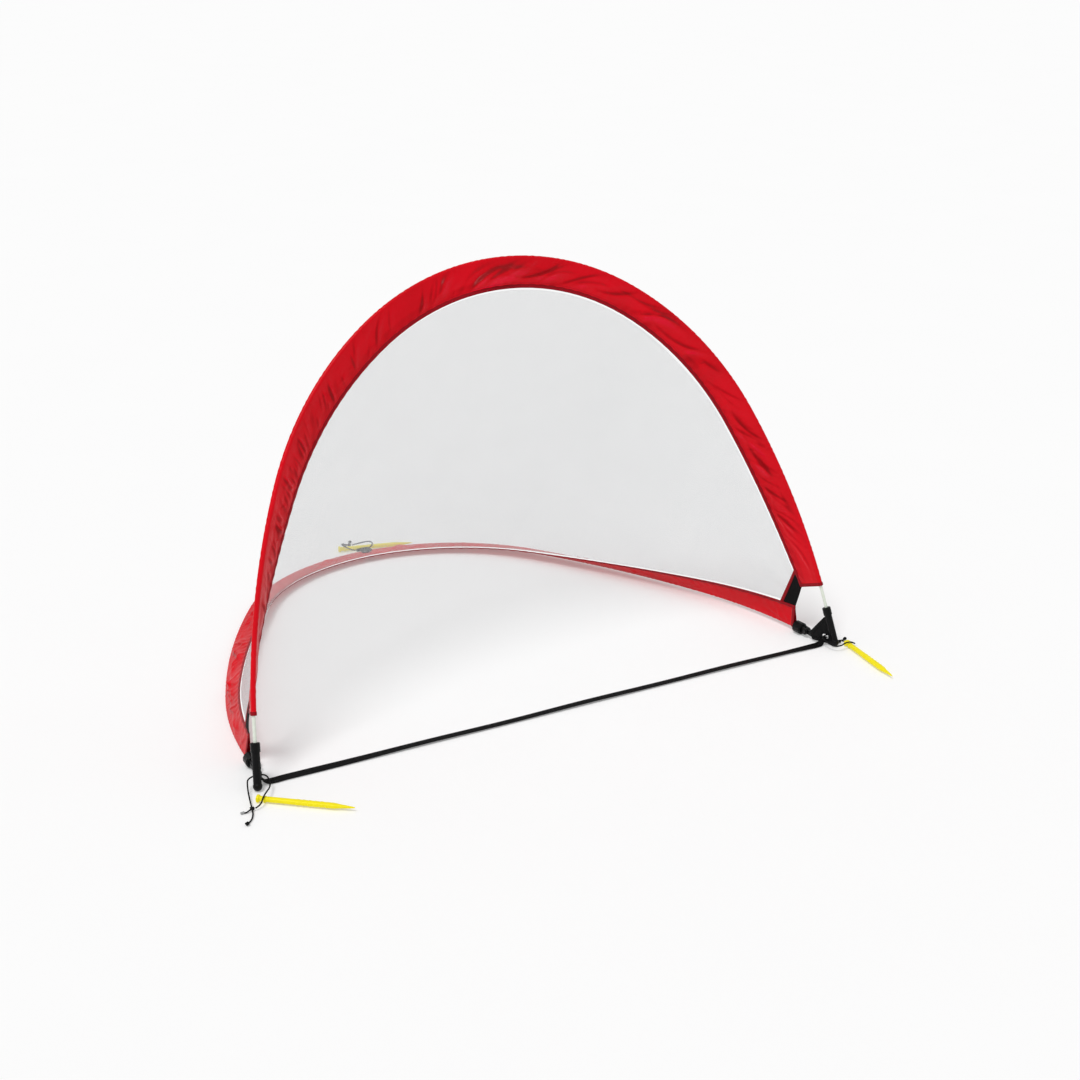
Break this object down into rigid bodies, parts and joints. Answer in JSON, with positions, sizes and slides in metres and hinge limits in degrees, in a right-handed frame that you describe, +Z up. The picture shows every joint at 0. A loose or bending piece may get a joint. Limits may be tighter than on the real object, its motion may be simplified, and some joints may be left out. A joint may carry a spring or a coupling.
{
  "type": "pop up goal",
  "caption": "Pop-up play goal: two sprung rods in fabric sleeves, hinged at corner brackets, with a mesh net between them, a cross strap and tied-on ground pegs.",
  "frame": {"origin": "middle of the goal line, on the ground, at the underside of the cross strap", "axes": "+X along the goal line to the right-hand foot, +Y into the goal towards the back of the hoop, +Z up"},
  "size_m": [1.2967, 1.151, 0.7784],
  "materials": {
    "fibreglass_rod": "pale glass fibre rod, semi-gloss",
    "red_sleeve_fabric": "woven polyester taffeta, slight sheen",
    "red_bias_tape": "folded binding tape, stitched",
    "white_mesh": "fine knitted mesh, see-through",
    "black_webbing": "woven webbing and elastic",
    "black_plastic": "moulded nylon, fine texture",
    "rivet_steel": "blackened steel",
    "yellow_plastic": "moulded plastic, soft gloss",
    "black_cord": "braided cord"
  },
  "bodies": {
    "front_frame": {"front_rod": "fibreglass_rod", "front_sleeve": "red_sleeve_fabric", "front_seam_tape": "red_bias_tape", "net": "white_mesh", "cross_strap": "black_webbing", "left_bracket": "black_plastic", "left_corner_elastic": "black_webbing", "left_corner_tape": "red_bias_tape", "right_bracket": "black_plastic", "right_corner_elastic": "black_webbing", "right_corner_tape": "red_bias_tape"},
    "ground_hoop": {"ground_rod": "fibreglass_rod", "ground_sleeve": "red_sleeve_fabric", "ground_seam_tape": "red_bias_tape", "rear_tab": "black_webbing", "left_hoop_hub": "black_plastic", "left_hinge_pin": "rivet_steel", "right_hoop_hub": "black_plastic", "right_hinge_pin": "rivet_steel"},
    "left_peg": {"left_peg": "yellow_plastic", "left_cord_knot": "black_cord", "left_peg_cord": "black_cord"},
    "right_peg": {"right_peg": "yellow_plastic", "right_cord_knot": "black_cord", "right_peg_cord": "black_cord"},
    "rear_peg": {"rear_peg": "yellow_plastic", "rear_cord_knot": "black_cord", "rear_peg_cord": "black_cord"}
  },
  "joints": [
    {"name": "fold", "type": "hinge", "parent": "front_frame", "child": "ground_hoop", "pos_m": [0, 0.044, 0.0124], "axis": [1, 0, 0], "range_deg": [0, 70], "stiffness_Nm_per_rad": 0.6, "springref_deg": -45.84, "deforming": ["front_sleeve", "ground_sleeve", "front_seam_tape", "ground_seam_tape", "net", "left_corner_elastic", "right_corner_elastic", "left_corner_tape", "right_corner_tape"]},
    {"name": "left_peg_swing", "type": "hinge", "parent": "front_frame", "child": "left_peg", "pos_m": [-0.5905, -0.0001, 0.0165], "axis": [0, 0, 1], "range_deg": [-25, 25], "deforming": ["left_peg_cord"]},
    {"name": "right_peg_swing", "type": "hinge", "parent": "front_frame", "child": "right_peg", "pos_m": [0.5905, -0.0001, 0.0165], "axis": [0, 0, 1], "range_deg": [-8, 25], "deforming": ["right_peg_cord"]},
    {"name": "rear_peg_swing", "type": "hinge", "parent": "ground_hoop", "child": "rear_peg", "pos_m": [0, 0.8891, 0.008], "axis": [0, 0, 1], "range_deg": [0, 25], "deforming": ["rear_peg_cord"]}
  ]
}
